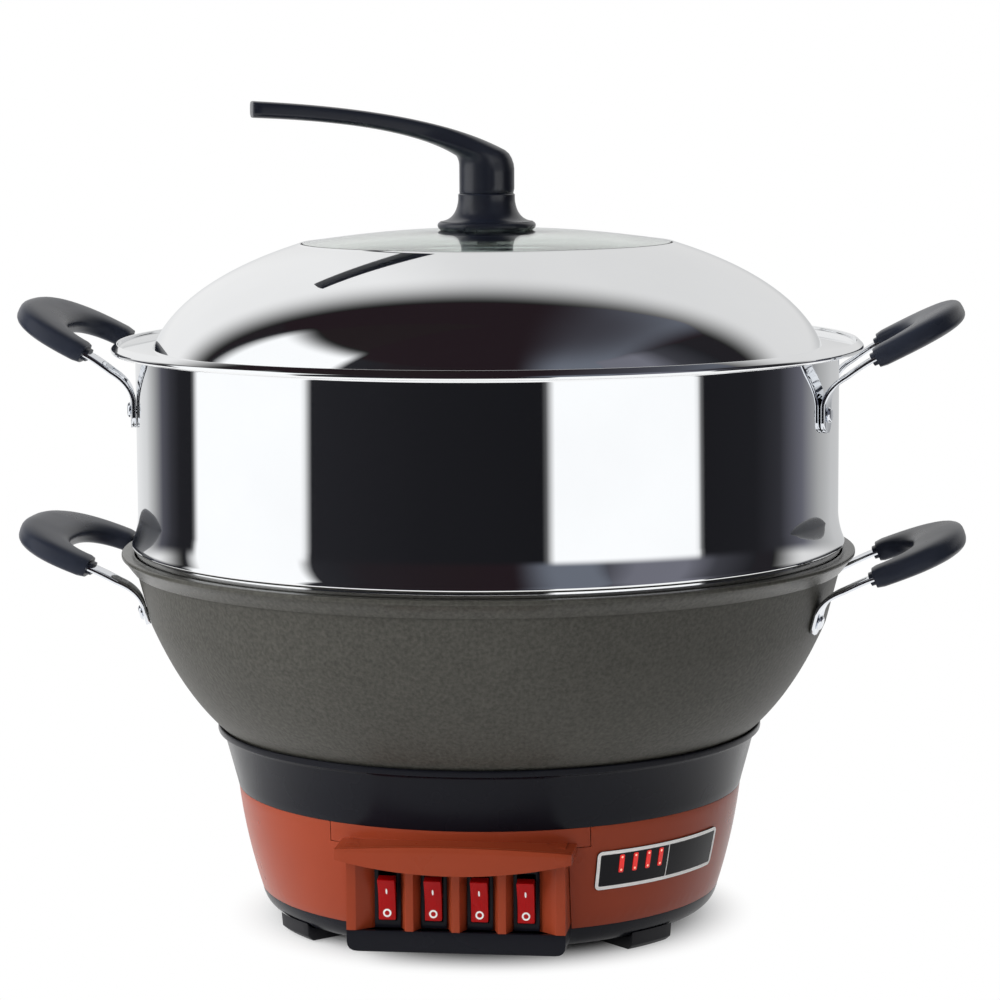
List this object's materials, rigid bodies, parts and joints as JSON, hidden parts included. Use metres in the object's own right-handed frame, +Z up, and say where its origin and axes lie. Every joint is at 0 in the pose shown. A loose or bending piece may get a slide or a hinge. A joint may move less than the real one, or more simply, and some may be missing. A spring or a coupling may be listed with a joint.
{
  "type": "electric cooking pot",
  "caption": "Electric cooking pot with a grey cast pot, a polished steamer tier, a domed lid with a glass window and a brown base with red rocker switches.",
  "frame": {"origin": "on the pot's axis at the surface that the feet stand on", "axes": "+X to the grips on the right as seen from the front, +Y to the back where the mains inlet is, +Z up along the pot's axis"},
  "size_m": [0.4764, 0.3718, 0.4065],
  "materials": {
    "black_plastic": "fine moulded texture",
    "foot_rubber": "matt",
    "brown_plastic": "semi-gloss moulding",
    "bakelite": "satin",
    "cast_pot": "fine sandy coating with a smooth rim band",
    "mirror_steel": "mirror polished",
    "strap_steel": "bright plated",
    "window_glass": "clear with a faint green tint",
    "seal_rubber": "matt",
    "rocker_red": "gloss",
    "lamp_red": "clear tinted lens",
    "plate_black": "printed film",
    "heater_aluminium": "cast",
    "sheath_steel": "heat-stained",
    "zinc_steel": "zinc plated",
    "contact_brass": "bright",
    "ceramic": "unglazed",
    "board": "laminate",
    "wire_cover": "glass-braid sleeve"
  },
  "bodies": {
    "base": {"bottom_tray": "black_plastic", "feet": "foot_rubber", "tray_screws": "zinc_steel", "body_shell": "brown_plastic", "control_panel": "brown_plastic", "indicator_plate": "plate_black", "indicator_lamps": "lamp_red", "lamp_board": "board", "switch_body_1": "black_plastic", "switch_body_2": "black_plastic", "switch_body_3": "black_plastic", "switch_body_4": "black_plastic", "switch_blades": "contact_brass", "insulating_ring": "black_plastic", "ring_screws": "zinc_steel", "heat_shield": "heater_aluminium", "heater_plate": "heater_aluminium", "heating_tubes": "sheath_steel", "thermostat": "ceramic", "thermal_fuse": "ceramic", "pot_studs": "zinc_steel", "pot_nuts": "zinc_steel", "mains_inlet": "black_plastic", "inlet_pins": "contact_brass", "inlet_screws": "zinc_steel", "terminal_block": "ceramic", "wiring": "wire_cover", "pot": "cast_pot", "pot_strap_left": "strap_steel", "pot_strap_right": "strap_steel", "pot_grip_left": "bakelite", "pot_grip_right": "bakelite", "pot_rivets": "strap_steel"},
    "lid": {"lid_dome": "mirror_steel", "lid_skirt": "mirror_steel", "glass_frame": "mirror_steel", "glass_seal": "seal_rubber", "lid_glass": "window_glass", "handle_collar": "bakelite", "lid_handle": "bakelite", "handle_screw": "zinc_steel", "handle_washer": "seal_rubber"},
    "steam_plate": {"steam_tray": "mirror_steel"},
    "steamer": {"steamer_body": "mirror_steel", "steamer_strap_left": "strap_steel", "steamer_strap_right": "strap_steel", "steamer_grip_left": "bakelite", "steamer_grip_right": "bakelite", "steamer_rivets": "strap_steel", "tray_carrier": "mirror_steel"},
    "switch_1": {"rocker_1": "rocker_red"},
    "switch_2": {"rocker_2": "rocker_red"},
    "switch_3": {"rocker_3": "rocker_red"},
    "switch_4": {"rocker_4": "rocker_red"}
  },
  "joints": [
    {"name": "steamer_lift", "type": "slide", "parent": "base", "child": "steamer", "axis": [0, 0, 1], "range_m": [0, 0.06]},
    {"name": "lid_lift", "type": "slide", "parent": "steamer", "child": "lid", "axis": [0, 0, 1], "range_m": [0, 0.15]},
    {"name": "steam_plate_lift", "type": "slide", "parent": "steamer", "child": "steam_plate", "axis": [0, 0, 1], "range_m": [0, 0.06]},
    {"name": "rocker_1_tip", "type": "hinge", "parent": "base", "child": "switch_1", "pos_m": [-0.033, -0.118, 0.0345], "axis": [-1, 0, 0], "range_deg": [0, 24]},
    {"name": "rocker_2_tip", "type": "hinge", "parent": "base", "child": "switch_2", "pos_m": [-0.011, -0.118, 0.0345], "axis": [-1, 0, 0], "range_deg": [0, 24]},
    {"name": "rocker_3_tip", "type": "hinge", "parent": "base", "child": "switch_3", "pos_m": [0.011, -0.118, 0.0345], "axis": [-1, 0, 0], "range_deg": [0, 24]},
    {"name": "rocker_4_tip", "type": "hinge", "parent": "base", "child": "switch_4", "pos_m": [0.033, -0.118, 0.0345], "axis": [-1, 0, 0], "range_deg": [0, 24]}
  ]
}
